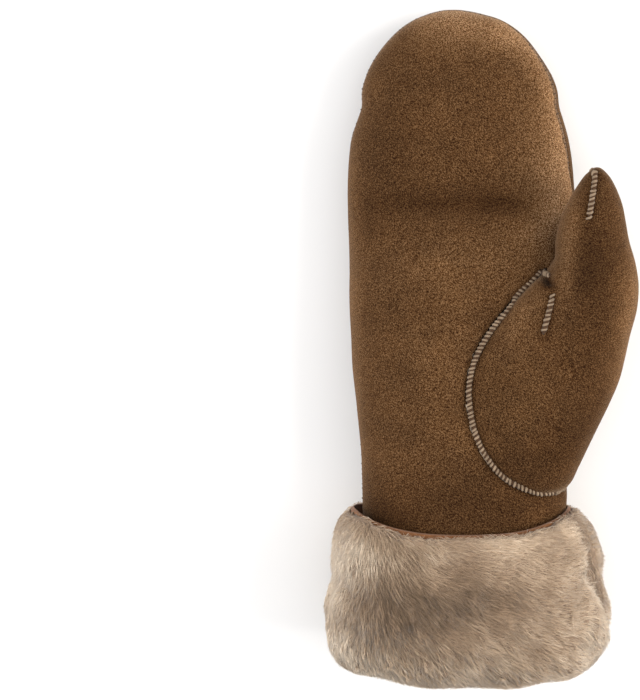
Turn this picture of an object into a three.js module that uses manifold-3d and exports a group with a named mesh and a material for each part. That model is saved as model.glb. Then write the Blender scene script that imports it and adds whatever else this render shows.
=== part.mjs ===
// A shearling mitten for the right hand, lying on its back with the palm up.
// Millimetres. +Y runs from the cuff to the fingertips, +X is the thumb side, +Z is up, out of the palm.
// The suede walls are lofts through the sections in the tables below, cut along the mitten's own seams.
import * as THREE from "three";
import { mergeVertices } from "three/addons/utils/BufferGeometryUtils.js";
import Module from "manifold-3d";

const wasm = await Module();
wasm.setup();

// Driving dimensions
const WALL = 2.4; // suede with its clipped wool
const CUFF_WALL = 1.8; // the bare skin of the turned-up cuff
const GAP = 0.35; // clearance between neighbouring pieces
const PILE_INSIDE = 6.5; // wool that rolls over the lip into the wrist opening
const MOUTH_Y = -134.8; // where the hand panels end, hidden by the cuff
const SLEEVE_END_Y = -112; // how far the wool reaches into the opening
const SUEDE_EXPONENT = 2.4; // superellipse exponents: 2 is an ellipse, more is squarer
const THUMB_EXPONENT = 2.1;
const CUFF_EXPONENT = 2.7;
const BODY_POINTS = 34; // points round one section
const THUMB_POINTS = 20;
const CUFF_POINTS = 36;
const FAR = 200; // past every side of the mitten
const LEAST_ROOM = 3.6; // a section narrower than this many walls is solid

// Hand tube: each row is one section. left and right are X, low and high are Z.
// A low below the floor is flattened against it, because the mitten lies there.
const HAND_SECTIONS = [
  { y: MOUTH_Y, left: -50.5, right: 36.5, low: 12.5, high: 64.5 },
  { y: -110, left: -51.2, right: 37.2, low: 12, high: 65 },
  { y: -84, left: -52, right: 37.8, low: 11.5, high: 65 },
  { y: -66, left: -52.3, right: 38.4, low: 10.5, high: 64.8 },
  { y: -54, left: -52.6, right: 38.9, low: 9, high: 64.2 },
  { y: -40, left: -53.2, right: 41, low: 6.5, high: 63.2 },
  { y: -22, left: -55, right: 43.5, low: 3, high: 61.2 },
  { y: 0, left: -56.8, right: 44, low: 0, high: 58.6 },
  { y: 22, left: -57.7, right: 43, low: -2, high: 56 },
  { y: 44, left: -57.9, right: 42, low: -3, high: 53.5 },
  { y: 58, left: -58.4, right: 41.6, low: -3, high: 51.5 },
  { y: 70, left: -58.7, right: 41, low: -3, high: 49.5 },
  { y: 82, left: -58.4, right: 40.2, low: -3, high: 48 },
  { y: 93, left: -57.3, right: 38.6, low: -3, high: 46.5 },
  { y: 102, left: -54.6, right: 36.2, low: -2.5, high: 44.8 },
  { y: 107.5, left: -52.9, right: 34.4, low: -2, high: 43.4 },
  { y: 114.5, left: -52.8, right: 33.4, low: -1.2, high: 42 },
  { y: 122, left: -50.6, right: 30.4, low: 0, high: 40.2 },
  { y: 129.5, left: -46.6, right: 25.6, low: 1.5, high: 37.8 },
  { y: 136, left: -41.6, right: 20.4, low: 3.5, high: 35 },
  { y: 141.4, left: -36, right: 14.2, low: 6, high: 32 },
  { y: 145.6, left: -29.6, right: 7, low: 9, high: 29 },
  { y: 148.3, left: -22.6, right: -2, low: 12.5, high: 25.5 },
  { y: 149.6, left: -17, right: -9, low: 16, high: 22 },
];

// Thumb: a free tube above the crotch, and below it a mound whose flank rises from the seam in the palm.
// peak is where a section is highest and level where it is widest.
const THUMB_SECTIONS = [
  { y: -60, left: -5, right: 35.5, peak: 20, low: 38, level: 46, high: 59.4 },
  { y: -55, left: -10, right: 40, peak: 24, low: 32, level: 46, high: 62.6 },
  { y: -49, left: -17, right: 42.8, peak: 27, low: 30, level: 46, high: 64.8 },
  { y: -42, left: -21, right: 46.2, peak: 29, low: 28, level: 46, high: 66 },
  { y: -33, left: -23.5, right: 50.6, peak: 32, low: 26, level: 45.5, high: 66.9 },
  { y: -21.8, left: -23, right: 56.2, peak: 34, low: 24.5, level: 45, high: 67.3 },
  { y: -10.7, left: -20.5, right: 60.6, peak: 36.5, low: 24, level: 45, high: 67.2 },
  { y: 0.3, left: -15.5, right: 63.4, peak: 39, low: 24.5, level: 45, high: 67.2 },
  { y: 11, left: -6, right: 65.4, peak: 42, low: 26, level: 46, high: 67.4 },
  { y: 22.2, left: 6.5, right: 67.5, peak: 45.5, low: 28, level: 47.5, high: 68 },
  { y: 33.2, left: 19.8, right: 67.8, peak: 47.5, low: 31.5, level: 50, high: 69.2 },
  { y: 43, left: 30.2, right: 65.9, peak: 48, low: 35.5, level: 53, high: 70.4 },
  { y: 53, left: 31.2, right: 62.8, peak: 47.4, low: 39.8, level: 56, high: 71.8 },
  { y: 62, left: 32.8, right: 60.8, peak: 47.4, low: 44, level: 58.5, high: 73 },
  { y: 70, left: 35.6, right: 59, peak: 48, low: 48.2, level: 61, high: 74 },
  { y: 77, left: 38.6, right: 56.4, peak: 48.2, low: 52.6, level: 63.5, high: 74.4 },
  { y: 82.5, left: 41.6, right: 53.4, peak: 48, low: 57.2, level: 65.5, high: 73.8 },
  { y: 86, left: 43.8, right: 50.4, peak: 47.2, low: 61.6, level: 67, high: 72.2 },
  { y: 87.8, left: 45.4, right: 48.2, peak: 46.8, low: 65, level: 67.3, high: 69.6 },
];

// Soft dents in the palm, each a trough that turns by angle from +X.
const PALM_DENTS = [
  { name: "knuckle crease", x: -6, y: 69, reach: 42, width: 9, depth: 3.2, angle: 0.03 },
  { name: "seam pucker", x: 33, y: 96, reach: 12, width: 5, depth: 1.2, angle: -0.5 },
  { name: "wrist fold", x: -20, y: -50, reach: 26, width: 7, depth: 1.4, angle: 0.25 },
  { name: "crotch hollow", x: 22, y: 18, reach: 10, width: 14, depth: 2.2, angle: 1.1 },
];

// Side seam between the back and palm panels: its height at the edge on the thumb side and on the outer side.
const THUMB_EDGE_X = 45;
const OUTER_EDGE_X = -60;
const SIDE_SEAM = [
  { y: -FAR, thumbSide: 30, outerSide: 36 },
  { y: -66, thumbSide: 23, outerSide: 36 },
  { y: -40, thumbSide: 17, outerSide: 34 },
  { y: -10, thumbSide: 15, outerSide: 30 },
  { y: 30, thumbSide: 17, outerSide: 27 },
  { y: 60, thumbSide: 28, outerSide: 25 },
  { y: 80, thumbSide: 33, outerSide: 24 },
  { y: 105, thumbSide: 31, outerSide: 22 },
  { y: 130, thumbSide: 26, outerSide: 20 },
  { y: 145, thumbSide: 21, outerSide: 19 },
  { y: FAR, thumbSide: 19, outerSide: 19 },
];

// Thumb seam: palmX is where it crosses the palm, and sideZ its height on the thumb-side edge.
const THUMB_SEAM = [
  { y: -58.9, palmX: 33, sideZ: 46 },
  { y: -58.2, palmX: 25, sideZ: 43 },
  { y: -55.8, palmX: 18.8, sideZ: 39 },
  { y: -52.4, palmX: 12.1, sideZ: 36 },
  { y: -48.4, palmX: 7.2, sideZ: 33.5 },
  { y: -43, palmX: 2.8, sideZ: 31 },
  { y: -36.5, palmX: -1.1, sideZ: 29.5 },
  { y: -28, palmX: -4.3, sideZ: 28 },
  { y: -20.6, palmX: -5.8, sideZ: 27 },
  { y: -13, palmX: -6.5, sideZ: 26.5 },
  { y: -6, palmX: -5.9, sideZ: 26 },
  { y: 0.4, palmX: -4.4, sideZ: 26 },
  { y: 8, palmX: -1, sideZ: 26 },
  { y: 16, palmX: 4.2, sideZ: 27 },
  { y: 22.4, palmX: 9.4, sideZ: 29 },
  { y: 28.7, palmX: 14.7, sideZ: 34 },
  { y: 34.1, palmX: 20.4, sideZ: 40 },
  { y: 38, palmX: 27, sideZ: 45 },
];

// Skin of the turned-up cuff, from the fold up to the rim. dip drops the palm side of a section.
const CUFF_SKIN_SECTIONS = [
  { y: -137, left: -53.5, right: 39.6, low: 10, high: 67, dip: 0 },
  { y: -128, left: -55, right: 41, low: 9, high: 68.6, dip: 0.5 },
  { y: -110, left: -56.3, right: 41.6, low: 8.5, high: 69.4, dip: 1.5 },
  { y: -88, left: -57, right: 41.8, low: 8, high: 69.8, dip: 3 },
  { y: -70, left: -57.2, right: 41.4, low: 7.5, high: 70, dip: 4.5 },
];

// The pile where it rolls over the fold, from inside the opening outwards.
const LIP_SECTIONS = [
  { y: -124, left: -36, right: 22, low: 24, high: 53, dip: 0 },
  { y: -136, left: -41, right: 27, low: 20, high: 57, dip: 1.5 },
  { y: -140.2, left: -46.5, right: 32.5, low: 15, high: 62, dip: 3 },
  { y: -141.4, left: -53, right: 39.6, low: 9, high: 68.5, dip: 3.2 },
  { y: -140.2, left: -58.6, right: 46, low: 4.5, high: 74, dip: 3.4 },
  { y: -137, left: -63, right: 51, low: 1, high: 78, dip: 3.6 },
];

// Outer form of the pile above the lip, before its locks.
const PILE_SECTIONS = [
  { y: -133, left: -65.8, right: 54.4, low: -1.5, high: 80.6, dip: 3.8 },
  { y: -127, left: -67.2, right: 56.2, low: -3.5, high: 82.6, dip: 3.8 },
  { y: -119, left: -67.6, right: 56.8, low: -4.5, high: 83.6, dip: 3.6 },
  { y: -109, left: -66.2, right: 55.4, low: -5, high: 83.8, dip: 3.6 },
  { y: -98, left: -64.8, right: 54, low: -4.5, high: 83.2, dip: 3.8 },
  { y: -87, left: -64.8, right: 53.4, low: -3.5, high: 81.8, dip: 4 },
  { y: -79, left: -64.4, right: 52.2, low: -1.5, high: 79.4, dip: 4.2 },
  { y: -74, left: -62, right: 48.4, low: 2, high: 75.6, dip: 4.4 },
  { y: -70.4, left: -57.6, right: 41.9, low: 7, high: 70.6, dip: 4.5 },
];

// Locks of wool: flat wedges that lie along the pile, rooted in it, with their tips standing proud.
const LOCK = { halfWidth: 6.2, halfThickness: 2.2, rootDepth: 2.4, tipRise: 1.9, sway: 0.2, unevenness: 1.2 };
const LOCK_ROWS = [
  { y: -83, length: 15 },
  { y: -92, length: 16 },
  { y: -101, length: 16 },
  { y: -110, length: 15 },
  { y: -118.5, length: 13 },
  { y: -126, length: 10.5 },
];
const LOCKS_PER_ROW = 24;
const SMALL_TURN = 0.03; // radians, for the direction round the cuff
const LOCK_CLEAR_OF_FLOOR = 9; // locks that start lower than this are left out
const COMB_DRIFT = 0.35; // how far the wool is combed towards the thumb side as it runs to the fold

// Parting where the two ends of the cuff strip meet, as an angle up from the thumb-side edge.
const CUFF_PARTING = [
  { y: -134, angle: 0.05 },
  { y: -125, angle: 0.15 },
  { y: -108, angle: 0.4 },
  { y: -97, angle: 0.58 },
  { y: -80, angle: 0.56 },
];
const PARTING = { depth: 2.6, floorWidth: 8, openWidth: 21, clearance: 5.2 };

// Colours as seen in daylight, in sRGB.
const SUEDE = new THREE.Color().setRGB(0.44, 0.31, 0.2, THREE.SRGBColorSpace);
const SUEDE_INSIDE = new THREE.Color().setRGB(0.3, 0.22, 0.16, THREE.SRGBColorSpace);
const WOOL = new THREE.Color().setRGB(0.72, 0.63, 0.52, THREE.SRGBColorSpace);

// Returns a function that gives a table's columns at any y between its rows.
function rowsAlong(table) {
  return (y) => {
    const next = THREE.MathUtils.clamp(table.findIndex((row) => row.y > y), 1, table.length - 1);
    const [from, to] = [table[next - 1], table[next]];
    const share = (y - from.y) / (to.y - from.y);
    const blend = (name) => [name, THREE.MathUtils.lerp(from[name], to[name], share)];
    return Object.fromEntries(Object.keys(from).map(blend));
  };
}

function signedPower(value, power) {
  return Math.sign(value) * Math.abs(value) ** power;
}

// A point of a superellipse section, flattened where it would go through the floor.
function sectionPoint(row, angle, exponent) {
  const peak = row.peak ?? (row.left + row.right) / 2;
  const level = row.level ?? (row.low + row.high) / 2;
  const across = signedPower(Math.cos(angle), 2 / exponent);
  const up = signedPower(Math.sin(angle), 2 / exponent);
  return new THREE.Vector3(
    peak + across * (across > 0 ? row.right - peak : peak - row.left),
    row.y - (row.dip ?? 0) * Math.max(up, 0) ** 3,
    Math.max(level + up * (up > 0 ? row.high - level : level - row.low), 0),
  );
}

function sectionRing(row, points, exponent) {
  const turn = (2 * Math.PI) / points;
  return Array.from({ length: points }, (_, i) => sectionPoint(row, i * turn, exponent));
}

function dentDepth(x, y) {
  return PALM_DENTS.reduce((sum, dent) => {
    const along = (x - dent.x) * Math.cos(dent.angle) + (y - dent.y) * Math.sin(dent.angle);
    const across = (y - dent.y) * Math.cos(dent.angle) - (x - dent.x) * Math.sin(dent.angle);
    return sum + dent.depth * Math.exp(-((along / dent.reach) ** 2) - (across / dent.width) ** 2);
  }, 0);
}

function handRings() {
  return HAND_SECTIONS.map((row) => {
    const middleZ = (row.low + row.high) / 2;
    return sectionRing(row, BODY_POINTS, SUEDE_EXPONENT).map((point) => {
      const facing = THREE.MathUtils.clamp((point.z - middleZ) / (row.high - middleZ), 0, 1);
      point.z -= dentDepth(point.x, point.y) * facing;
      return point;
    });
  });
}

// Moves every ring along the surface normal: outwards, or inwards where distance is negative.
function offsetRings(rings, distance) {
  const last = rings.length - 1;
  return rings.map((ring, i) =>
    ring.map((point, j) => {
      const count = ring.length;
      const along = rings[Math.min(i + 1, last)][j].clone().sub(rings[Math.max(i - 1, 0)][j]);
      const round = ring[(j + 1) % count].clone().sub(ring[(j + count - 1) % count]);
      const normal = along.cross(round).normalize();
      return point.clone().addScaledVector(normal, distance);
    }),
  );
}

// Rings too small to hold a wall are dropped, so that the inside ends in a blunt tip.
function insideRings(rings, wall) {
  const roomy = rings.filter((ring) => {
    const box = new THREE.Box3().setFromPoints(ring);
    const size = box.getSize(new THREE.Vector3());
    return Math.min(size.x, size.z) > LEAST_ROOM * wall;
  });
  return offsetRings(roomy, -wall);
}

// A copy of the first ring pushed along Y, so that a cutter runs out of the mouth.
function withExtraRing(rings, y) {
  return [rings[0].map((point) => new THREE.Vector3(point.x, y, point.z)), ...rings];
}

// A closed body through rings of equal length, with a flat fan at each end.
function loft(rings) {
  const count = rings[0].length;
  const points = rings.flat();
  const centreOf = (ring) =>
    ring.reduce((sum, point) => sum.add(point), new THREE.Vector3()).divideScalar(ring.length);
  const startCentre = points.push(centreOf(rings[0])) - 1;
  const endCentre = points.push(centreOf(rings[rings.length - 1])) - 1;
  const endRow = (rings.length - 1) * count;
  const faces = [];
  for (let j = 0; j < count; j++) {
    const next = (j + 1) % count;
    for (let i = 0; i < rings.length - 1; i++) {
      const here = i * count;
      const there = here + count;
      faces.push(here + j, there + j, there + next, here + j, there + next, here + next);
    }
    faces.push(startCentre, j, next);
    faces.push(endCentre, endRow + next, endRow + j);
  }
  const geometry = new THREE.BufferGeometry().setFromPoints(points);
  geometry.setIndex(faces);
  return geometry;
}

function solid(geometry) {
  const bare = new THREE.BufferGeometry();
  bare.setAttribute("position", geometry.getAttribute("position"));
  bare.setIndex(geometry.index);
  const merged = mergeVertices(bare, 1e-4);
  return new wasm.Manifold(
    new wasm.Mesh({
      numProp: 3,
      vertProperties: merged.attributes.position.array,
      triVerts: new Uint32Array(merged.index.array),
    }),
  );
}

const loftSolid = (rings) => solid(loft(rings));

// A loft whose sections are polygons in the XZ plane, given by a function of each row.
function polygonLoft(rows, polygonOf) {
  return loftSolid(rows.map((row) => polygonOf(row).map(([x, z]) => new THREE.Vector3(x, row.y, z))));
}

function slab(minY, maxY) {
  return solid(new THREE.BoxGeometry(2 * FAR, maxY - minY, 2 * FAR).translate(0, (minY + maxY) / 2, 0));
}

// Everything on the back-of-hand side of the side seam, raised or lowered by shift.
function backSide(shift) {
  return polygonLoft(SIDE_SEAM, (row) => [
    [-FAR, -FAR],
    [FAR, -FAR],
    [FAR, row.thumbSide + shift],
    [THUMB_EDGE_X, row.thumbSide + shift],
    [OUTER_EDGE_X, row.outerSide + shift],
    [-FAR, row.outerSide + shift],
  ]);
}

// The part of the wall that belongs to the thumb: right of the seam on the palm and above it on the edge.
function thumbZone(grow) {
  const last = THUMB_SEAM.length - 1;
  const rows = THUMB_SEAM.map((row, i) => ({
    ...row,
    y: row.y + (i === 0 ? -grow : 0) + (i === last ? grow : 0),
  }));
  return polygonLoft(rows, (row) => [
    [row.palmX - grow, row.sideZ - grow],
    [FAR, row.sideZ - grow],
    [FAR, FAR],
    [row.palmX - grow, FAR],
  ]);
}

// Keeps the largest piece of a cut solid, without the slivers a cut can leave.
function largest(made) {
  return made.decompose().reduce((best, piece) => (piece.volume() > best.volume() ? piece : best));
}

function handSolids() {
  const rings = handRings();
  const inside = insideRings(rings, WALL);
  return {
    rings,
    outer: loftSolid(rings),
    grown: loftSolid(withExtraRing(offsetRings(rings, GAP), MOUTH_Y - 1)),
    inner: loftSolid(withExtraRing(inside, -FAR)),
  };
}

function thumbSolids() {
  const rings = THUMB_SECTIONS.map((row) => sectionRing(row, THUMB_POINTS, THUMB_EXPONENT));
  return { outer: loftSolid(rings), inner: loftSolid(insideRings(rings, WALL)) };
}

function suedePieces(hand, thumb) {
  const shell = hand.outer.subtract(hand.inner);
  const besideThumb = shell.subtract(thumbZone(GAP));
  const zone = thumbZone(0);
  const gusset = shell.add(thumb.outer).intersect(zone);
  const freeThumb = thumb.outer.subtract(hand.grown);
  return {
    backPanel: largest(besideThumb.intersect(backSide(-GAP / 2))),
    palmPanel: largest(besideThumb.subtract(backSide(GAP / 2))),
    thumb: largest(gusset.add(freeThumb).subtract(hand.inner).subtract(thumb.inner)),
  };
}

function cuffRings(sections) {
  return sections.map((row) => sectionRing(row, CUFF_POINTS, CUFF_EXPONENT));
}

function cuffSkin(hand) {
  const rings = cuffRings(CUFF_SKIN_SECTIONS);
  const hollow = offsetRings(rings, -CUFF_WALL);
  const foldTop = CUFF_SKIN_SECTIONS[0].y + CUFF_WALL;
  const room = loftSolid([...hollow, hollow[hollow.length - 1].map((p) => p.clone().setY(0))]);
  return loftSolid(rings).subtract(room.subtract(slab(-FAR, foldTop))).subtract(hand.inner);
}

// One lock: a four-sided wedge from its root in the pile to its tip.
function lock(foot, out, comb, length) {
  const side = new THREE.Vector3().crossVectors(comb, out).normalize();
  const root = foot.clone().addScaledVector(out, -LOCK.rootDepth);
  const tip = foot.clone().addScaledVector(out, LOCK.tipRise).addScaledVector(comb, length);
  const corners = [
    root.clone().addScaledVector(side, LOCK.halfWidth),
    root.clone().addScaledVector(out, LOCK.halfThickness),
    root.clone().addScaledVector(side, -LOCK.halfWidth),
    root.clone().addScaledVector(out, -LOCK.halfThickness),
    tip,
  ];
  const geometry = new THREE.BufferGeometry().setFromPoints(corners);
  geometry.setIndex([1, 0, 4, 2, 1, 4, 3, 2, 4, 0, 3, 4, 0, 1, 2, 0, 2, 3]);
  return solid(geometry);
}

function pileLocks() {
  const sectionAt = rowsAlong(PILE_SECTIONS);
  const pointAt = (y, angle) => sectionPoint(sectionAt(y), angle, CUFF_EXPONENT);
  const locks = [];
  LOCK_ROWS.forEach(({ y, length }, rowIndex) => {
    for (let k = 0; k < LOCKS_PER_ROW; k++) {
      const angle = ((k + (rowIndex % 2) / 2) / LOCKS_PER_ROW) * 2 * Math.PI;
      const foot = pointAt(y, angle);
      if (foot.z < LOCK_CLEAR_OF_FLOOR) continue;
      const round = pointAt(y, angle + SMALL_TURN).sub(pointAt(y, angle - SMALL_TURN)).normalize();
      const down = pointAt(y - length / 2, angle).sub(foot).normalize();
      const out = new THREE.Vector3().crossVectors(round, down).normalize();
      const wave = Math.sin(2.4 * k + 1.9 * rowIndex);
      const drift = LOCK.sway * wave - COMB_DRIFT * Math.sin(angle);
      const comb = down.addScaledVector(round, drift).normalize();
      locks.push(lock(foot, out, comb, length + LOCK.unevenness * wave));
    }
  });
  return wasm.Manifold.union(locks);
}

// The parting: a steep step on the palm side of it and a low strip beyond, round the side of the cuff.
function cuffParting() {
  const sectionAt = rowsAlong(PILE_SECTIONS);
  const strip = CUFF_PARTING.map((row) => {
    const surfaceAt = (angle) => sectionPoint({ ...sectionAt(row.y), dip: 0 }, angle, CUFF_EXPONENT);
    const edge = surfaceAt(row.angle);
    const middle = surfaceAt(Math.PI / 2).add(surfaceAt(-Math.PI / 2)).divideScalar(2);
    const out = edge.clone().sub(middle).normalize();
    const down = new THREE.Vector3(out.z, 0, -out.x);
    const corner = (depth, width) => edge.clone().addScaledVector(out, -depth).addScaledVector(down, width);
    return [
      corner(PARTING.depth, 0),
      corner(PARTING.depth, PARTING.floorWidth),
      corner(-PARTING.clearance, PARTING.openWidth),
      corner(-PARTING.clearance, -1),
    ];
  });
  return loftSolid(strip);
}

function cuffPile(hand) {
  const form = loftSolid(cuffRings([...LIP_SECTIONS, ...PILE_SECTIONS]));
  const skinRings = cuffRings(CUFF_SKIN_SECTIONS);
  const skinZone = loftSolid([
    ...offsetRings(skinRings, GAP).map((ring, i) => (i ? ring : ring.map((p) => p.setY(p.y - GAP)))),
    skinRings[skinRings.length - 1].map((point) => point.clone().setY(0)),
  ]);
  const sleeve = loftSolid(withExtraRing(insideRings(hand.rings, WALL + GAP), -FAR));
  const opening = loftSolid(withExtraRing(insideRings(hand.rings, WALL + PILE_INSIDE), -FAR));
  const taken = skinZone.subtract(sleeve.subtract(slab(SLEEVE_END_Y, FAR)));
  return largest(form.add(pileLocks()).subtract(taken).subtract(opening).subtract(cuffParting()));
}

function piece(name, made, color, roughness) {
  const mesh = made.getMesh();
  const geometry = new THREE.BufferGeometry();
  geometry.setAttribute("position", new THREE.BufferAttribute(mesh.vertProperties, 3));
  geometry.setIndex(new THREE.BufferAttribute(mesh.triVerts, 1));
  const material = new THREE.MeshStandardMaterial({ color, roughness, metalness: 0, flatShading: true });
  const object = new THREE.Mesh(geometry, material);
  object.name = name;
  return object;
}

const hand = handSolids();
const suede = suedePieces(hand, thumbSolids());
const mitten = new THREE.Group();
mitten.add(
  piece("back_panel", suede.backPanel, SUEDE, 0.95),
  piece("palm_panel", suede.palmPanel, SUEDE, 0.95),
  piece("thumb", suede.thumb, SUEDE, 0.95),
  piece("cuff_skin", cuffSkin(hand), SUEDE_INSIDE, 0.9),
  piece("cuff_pile", cuffPile(hand), WOOL, 1),
);

// The origin is under the middle of the mitten, on the surface where it lies.
const centre = new THREE.Box3().setFromObject(mitten).getCenter(new THREE.Vector3());
mitten.position.set(-centre.x, -centre.y, 0);

export default mitten;
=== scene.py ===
import math

import bpy
import numpy as np
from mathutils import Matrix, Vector
from mathutils.bvhtree import BVHTree
from mathutils.kdtree import KDTree


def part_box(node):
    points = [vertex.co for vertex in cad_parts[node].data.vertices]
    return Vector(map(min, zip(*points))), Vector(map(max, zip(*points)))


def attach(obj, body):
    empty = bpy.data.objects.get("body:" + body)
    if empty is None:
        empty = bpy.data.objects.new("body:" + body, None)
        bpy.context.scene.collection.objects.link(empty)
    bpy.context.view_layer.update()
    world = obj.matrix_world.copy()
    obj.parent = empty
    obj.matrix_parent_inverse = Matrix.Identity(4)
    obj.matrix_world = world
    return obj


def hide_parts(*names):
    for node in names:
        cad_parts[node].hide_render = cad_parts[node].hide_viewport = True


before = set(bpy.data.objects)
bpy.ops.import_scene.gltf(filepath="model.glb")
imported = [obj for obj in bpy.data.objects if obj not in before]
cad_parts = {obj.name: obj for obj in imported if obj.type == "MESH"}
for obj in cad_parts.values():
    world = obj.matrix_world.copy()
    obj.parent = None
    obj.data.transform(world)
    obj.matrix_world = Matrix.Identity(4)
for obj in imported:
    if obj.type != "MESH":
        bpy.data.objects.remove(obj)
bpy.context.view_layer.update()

MM = 0.001
SEED = 20

# Walls and gaps. FAR is beyond everything.
WALL = 2.4
CUFF_WALL = 1.8
RIM_THICKNESS = 1.3
RIM_TAPER_FROM = -82.0
RIM_SHARP_DEGREES = 40
GAP = 0.1
MOUTH_Y = -134.8
FAR = 200.0

# A section narrower than this many walls has no hollow.
LEAST_ROOM = 3.6

# How square the superellipse sections are
SUEDE_EXPONENT = 2.4
THUMB_EXPONENT = 2.1
CUFF_EXPONENT = 2.7

# How finely each form is worked out
ROW_STEPS = 6
ZONE_STEPS = 4
BODY_POINTS = 132
THUMB_POINTS = 96
CUFF_POINTS = 120

# Remeshing: voxels, passes of smoothing, and the share of the faces that is kept
WALL_VOXELS = {"back_panel": 1.1, "palm_panel": 1.0, "thumb": 0.9}
WALL_PASSES, WALL_KEPT = 4, 0.45
WOOL_VOXEL, WOOL_PASSES, WOOL_KEPT = 1.5, 3, 0.6
SMOOTHING = 0.5

HAND_COLUMNS = ("y", "left", "right", "low", "high")
HAND_SECTIONS = [
    (MOUTH_Y, -50.5, 36.5, 12.5, 64.5), (-110, -51.2, 37.2, 12, 65), (-84, -52, 37.8, 11.5, 65),
    (-66, -52.3, 38.4, 10.5, 64.8), (-54, -52.6, 38.9, 9, 64.2), (-40, -53.2, 41, 6.5, 63.2),
    (-22, -55, 43.5, 3, 61.2), (0, -56.8, 44, 0, 58.6), (22, -57.7, 43, -2, 56),
    (44, -57.9, 42, -3, 53.5), (58, -58.4, 41.6, -3, 51.5), (70, -58.7, 41, -3, 49.5),
    (82, -58.4, 40.2, -3, 48), (93, -57.3, 38.6, -3, 46.5), (102, -54.6, 36.2, -2.5, 44.8),
    (107.5, -52.9, 34.4, -2, 43.4), (114.5, -52.8, 33.4, -1.2, 42), (122, -50.6, 30.4, 0, 40.2),
    (129.5, -46.6, 25.6, 1.5, 37.8), (136, -41.6, 20.4, 3.5, 35), (141.4, -36, 14.2, 6, 32),
    (145.6, -29.6, 7, 9, 29), (148.3, -22.6, -2, 12.5, 25.5), (149.6, -17, -9, 16, 22),
]

THUMB_COLUMNS = ("y", "left", "right", "peak", "low", "level", "high")
THUMB_SECTIONS = [
    (-60, -5, 35.5, 20, 38, 46, 59.4), (-55, -10, 40, 24, 32, 46, 62.6),
    (-49, -17, 42.8, 27, 30, 46, 64.8), (-42, -21, 46.2, 29, 28, 46, 66),
    (-33, -23.5, 50.6, 32, 26, 45.5, 66.9), (-21.8, -23, 56.2, 34, 24.5, 45, 67.3),
    (-10.7, -20.5, 60.6, 36.5, 24, 45, 67.2), (0.3, -15.5, 63.4, 39, 24.5, 45, 67.2),
    (11, -6, 65.4, 42, 26, 46, 67.4), (22.2, 6.5, 67.5, 45.5, 28, 47.5, 68),
    (33.2, 19.8, 67.8, 47.5, 31.5, 50, 69.2), (43, 30.2, 65.9, 48, 35.5, 53, 70.4),
    (53, 31.2, 62.8, 47.4, 39.8, 56, 71.8), (62, 32.8, 60.8, 47.4, 44, 58.5, 73),
    (70, 35.6, 59, 48, 48.2, 61, 74), (77, 38.6, 56.4, 48.2, 52.6, 63.5, 74.4),
    (82.5, 41.6, 53.4, 48, 57.2, 65.5, 73.8), (86, 43.8, 50.4, 47.2, 61.6, 67, 72.2),
    (87.8, 45.4, 48.2, 46.8, 65, 67.3, 69.6),
]

# Dents of the palm: place, reach, width, depth and turn
PALM_DENTS = [
    (-6, 69, 42, 9, 3.2, 0.03), (33, 96, 12, 5, 1.2, -0.5), (-20, -50, 26, 7, 1.4, 0.25),
    (22, 18, 10, 14, 2.2, 1.1),
]

# Side seam: its height on the thumb side and on the outer side
THUMB_EDGE_X = 45.0
OUTER_EDGE_X = -60.0
SIDE_SEAM = [
    (-FAR, 30, 36), (-66, 23, 36), (-40, 17, 34), (-10, 15, 30), (30, 17, 27), (60, 28, 25),
    (80, 33, 24), (105, 31, 22), (130, 26, 20), (145, 21, 19), (FAR, 19, 19),
]

# Thumb seam: y, where it crosses the palm, and its height on the thumb-side edge
THUMB_SEAM = [
    (-58.9, 33, 46), (-58.2, 25, 43), (-55.8, 18.8, 39), (-52.4, 12.1, 36), (-48.4, 7.2, 33.5),
    (-43, 2.8, 31), (-36.5, -1.1, 29.5), (-28, -4.3, 28), (-20.6, -5.8, 27), (-13, -6.5, 26.5),
    (-6, -5.9, 26), (0.4, -4.4, 26), (8, -1, 26), (16, 4.2, 27), (22.4, 9.4, 29), (28.7, 14.7, 34),
    (34.1, 20.4, 40), (38, 27, 45),
]

# Skin of the turned-up cuff, from the fold up to the rim. dip drops the palm side of a section.
CUFF_COLUMNS = ("y", "left", "right", "low", "high", "dip")
CUFF_SKIN_SECTIONS = [
    (-137, -53.5, 39.6, 10, 67, 0), (-128, -55, 41, 9, 68.6, 0.5), (-110, -56.3, 41.6, 8.5, 69.4, 1.5),
    (-88, -57, 41.8, 8, 69.8, 3), (-70, -57.2, 41.4, 7.5, 70, 4.5),
]

# Outer form of the wool: where it rolls over the fold from inside the opening, and above that.
WOOL_SECTIONS = [
    (-124, -36, 22, 24, 53, 0), (-136, -41, 27, 20, 57, 1.5), (-140.2, -46.5, 32.5, 15, 62, 3),
    (-141.4, -53, 39.6, 9, 68.5, 3.2), (-140.2, -58.6, 46, 4.5, 74, 3.4), (-137, -63, 51, 1, 78, 3.6),
    (-133, -65.8, 54.4, -1.5, 80.6, 3.8), (-127, -67.2, 56.2, -3.5, 82.6, 3.8),
    (-119, -67.6, 56.8, -4.5, 83.6, 3.6), (-109, -66.2, 55.4, -5, 83.8, 3.6),
    (-98, -64.8, 54, -4.5, 83.2, 3.8), (-87, -64.8, 53.4, -3.5, 81.8, 4),
    (-79, -64.4, 52.2, -1.5, 79.4, 4.2), (-74, -62, 48.4, 2, 75.6, 4.4),
    (-70.4, -57.6, 41.9, 7, 70.6, 4.5),
]

# The layout's origin in the part's frame, from two extremes that both share.
THUMB_REACH_X = 67.8
TIP_Y = 149.6
LAYOUT = Vector((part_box("thumb")[1].x - THUMB_REACH_X * MM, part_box("palm_panel")[1].y - TIP_Y * MM, 0))


def metres(points):
    """Layout millimetres to the part's frame."""
    return np.asarray(points, float) * MM + np.array(LAYOUT)


def layout_of(places):
    """Places in the part's frame to layout millimetres."""
    return (places - np.array(LAYOUT)) / MM


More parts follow.
